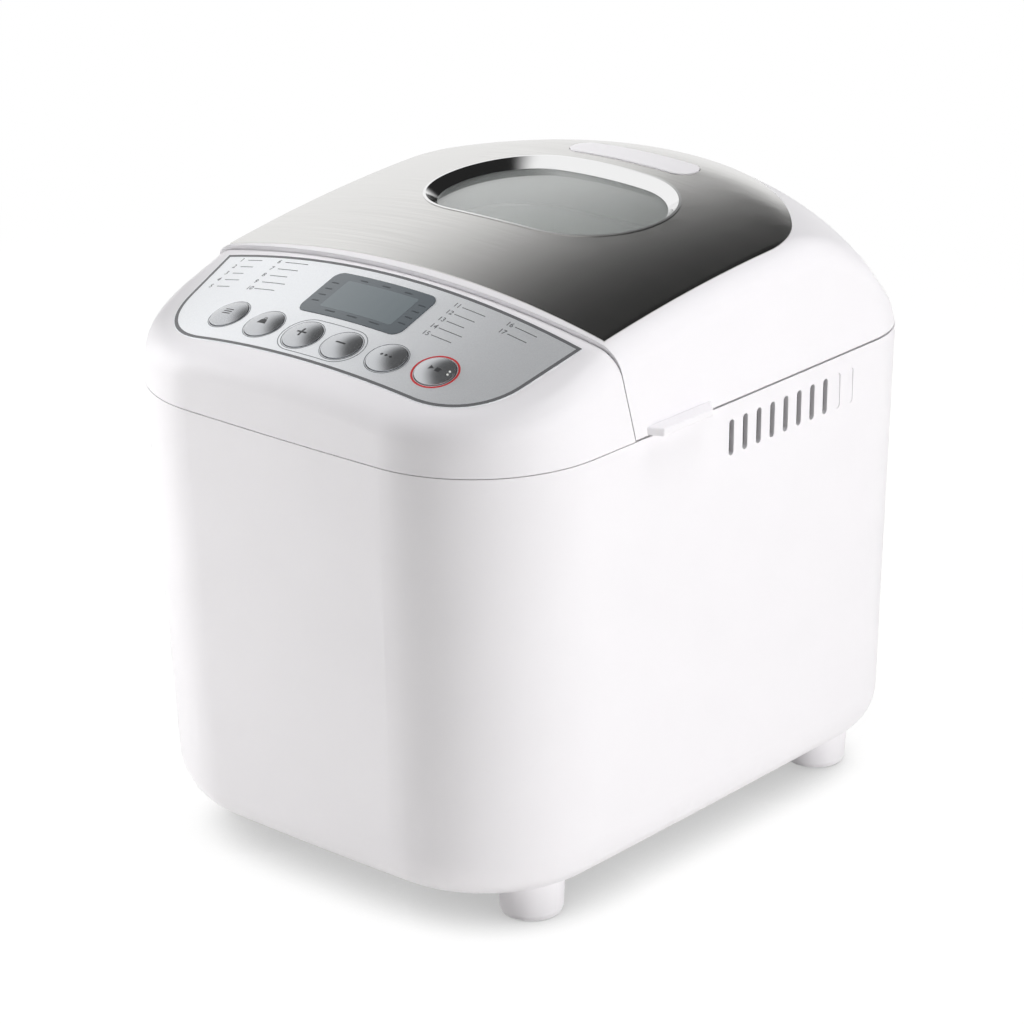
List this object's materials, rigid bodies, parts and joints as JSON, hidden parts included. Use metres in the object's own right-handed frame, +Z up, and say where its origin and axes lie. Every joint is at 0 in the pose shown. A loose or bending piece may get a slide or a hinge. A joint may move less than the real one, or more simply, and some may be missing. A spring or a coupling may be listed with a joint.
{
  "type": "bread machine",
  "caption": "White countertop bread machine with a hinged steel-topped lid, viewing window, sloped control panel with push buttons and a removable kneading pan.",
  "frame": {"origin": "on the table, under the middle of the overall box", "axes": "+X to the machine's right as seen facing its control panel, +Y to the rear hinge, +Z up"},
  "size_m": [0.2754, 0.3324, 0.3124],
  "materials": {
    "white_abs": "glossy moulded white",
    "brushed_stainless": "brushed across the width",
    "polished_stainless": "polished",
    "clear_glass": "clear",
    "silver_panel_film": "satin silver-grey print",
    "smoked_acrylic": "glossy",
    "satin_silver_plastic": "satin metallic",
    "circuit_board": "solder resist",
    "black_plastic": "moulded",
    "nylon": "moulded natural",
    "galvanised_steel": "galvanised sheet",
    "coated_steel": "dark baked coating",
    "aluminium_sheet": "mill finish",
    "heater_steel": "heat-darkened",
    "stainless_steel": "drawn",
    "sintered_bronze": "sintered",
    "motor_steel": "satin grey",
    "belt_rubber": "matt",
    "nonstick_coating": "satin non-stick"
  },
  "bodies": {
    "casing": {"body_shell": "white_abs", "base_plate": "galvanised_steel", "feet": "white_abs", "control_housing": "white_abs", "control_overlay": "silver_panel_film", "display_lens": "smoked_acrylic", "display_module": "black_plastic", "control_board": "circuit_board", "tact_switches": "black_plastic", "power_board": "circuit_board", "power_components": "black_plastic", "board_standoffs": "nylon", "chamber_liner": "coated_steel", "top_deck": "galvanised_steel", "heating_element": "heater_steel", "element_clips": "stainless_steel", "temperature_probe": "stainless_steel", "thermal_cutout": "black_plastic", "pan_socket": "galvanised_steel", "socket_clips": "stainless_steel", "drive_bush": "sintered_bronze", "drive_chassis": "galvanised_steel", "motor": "motor_steel", "drive_belt": "belt_rubber", "base_screws": "stainless_steel", "hinge_brackets": "galvanised_steel", "hinge_pins": "stainless_steel", "cord_gland": "black_plastic"},
    "lid": {"lid_shell": "white_abs", "lid_skin": "brushed_stainless", "window_bezel": "polished_stainless", "window_glass": "clear_glass", "vent_cap": "white_abs", "lid_liner": "aluminium_sheet", "liner_walls": "aluminium_sheet", "inner_glass": "clear_glass"},
    "menu_button": {"button_menu": "satin_silver_plastic"},
    "weight_button": {"button_weight": "satin_silver_plastic"},
    "plus_button": {"button_plus": "satin_silver_plastic"},
    "minus_button": {"button_minus": "satin_silver_plastic"},
    "colour_button": {"button_colour": "satin_silver_plastic"},
    "start_button": {"button_start": "satin_silver_plastic"},
    "motor_rotor": {"motor_shaft": "stainless_steel", "motor_pulley": "nylon"},
    "drive": {"drive_shaft": "stainless_steel", "drive_pulley": "nylon", "drive_dog": "aluminium_sheet"},
    "pan": {"bread_pan": "nonstick_coating", "pan_base_ring": "aluminium_sheet", "pan_bush": "nylon", "handle_ears": "stainless_steel"},
    "bail": {"pan_handle": "stainless_steel"},
    "kneader": {"kneading_shaft": "stainless_steel", "shaft_wing": "aluminium_sheet", "kneading_paddle": "nonstick_coating"}
  },
  "joints": [
    {"name": "lid_hinge", "type": "hinge", "parent": "casing", "child": "lid", "pos_m": [0, 0.1612, 0.237], "axis": [-1, 0, 0], "range_deg": [0, 80]},
    {"name": "button_menu_press", "type": "slide", "parent": "casing", "child": "menu_button", "axis": [0.1147, 0.3256, -0.9385], "range_m": [0, 0.0012], "stiffness_N_per_m": 900},
    {"name": "button_weight_press", "type": "slide", "parent": "casing", "child": "weight_button", "axis": [0.0683, 0.3256, -0.943], "range_m": [0, 0.0012], "stiffness_N_per_m": 900},
    {"name": "button_plus_press", "type": "slide", "parent": "casing", "child": "plus_button", "axis": [0.0215, 0.3256, -0.9453], "range_m": [0, 0.0012], "stiffness_N_per_m": 900},
    {"name": "button_minus_press", "type": "slide", "parent": "casing", "child": "minus_button", "axis": [-0.0215, 0.3256, -0.9453], "range_m": [0, 0.0012], "stiffness_N_per_m": 900},
    {"name": "button_colour_press", "type": "slide", "parent": "casing", "child": "colour_button", "axis": [-0.0683, 0.3256, -0.943], "range_m": [0, 0.0012], "stiffness_N_per_m": 900},
    {"name": "button_start_press", "type": "slide", "parent": "casing", "child": "start_button", "axis": [-0.1147, 0.3256, -0.9385], "range_m": [0, 0.0012], "stiffness_N_per_m": 900},
    {"name": "drive_spin", "type": "hinge", "parent": "casing", "child": "drive", "pos_m": [0, 0.042, 0.0257], "axis": [0, 0, 1], "continuous": true},
    {"name": "motor_spin", "type": "hinge", "parent": "casing", "child": "motor_rotor", "pos_m": [0.03, -0.1081, 0.0257], "axis": [0, 0, 1], "continuous": true},
    {"name": "pan_lift", "type": "slide", "parent": "casing", "child": "pan", "axis": [0, 0, 1], "range_m": [0, 0.055]},
    {"name": "handle_swing", "type": "hinge", "parent": "pan", "child": "bail", "pos_m": [0, 0.042, 0.198], "axis": [1, 0, 0], "range_deg": [0, 180]},
    {"name": "kneader_spin", "type": "hinge", "parent": "pan", "child": "kneader", "pos_m": [0, 0.042, 0.0675], "axis": [0, 0, 1], "continuous": true}
  ],
  "couplings": [
    {"joint": "motor_spin", "follows": "drive_spin", "ratio": 6.1111},
    {"joint": "kneader_spin", "follows": "drive_spin", "ratio": 1}
  ]
}
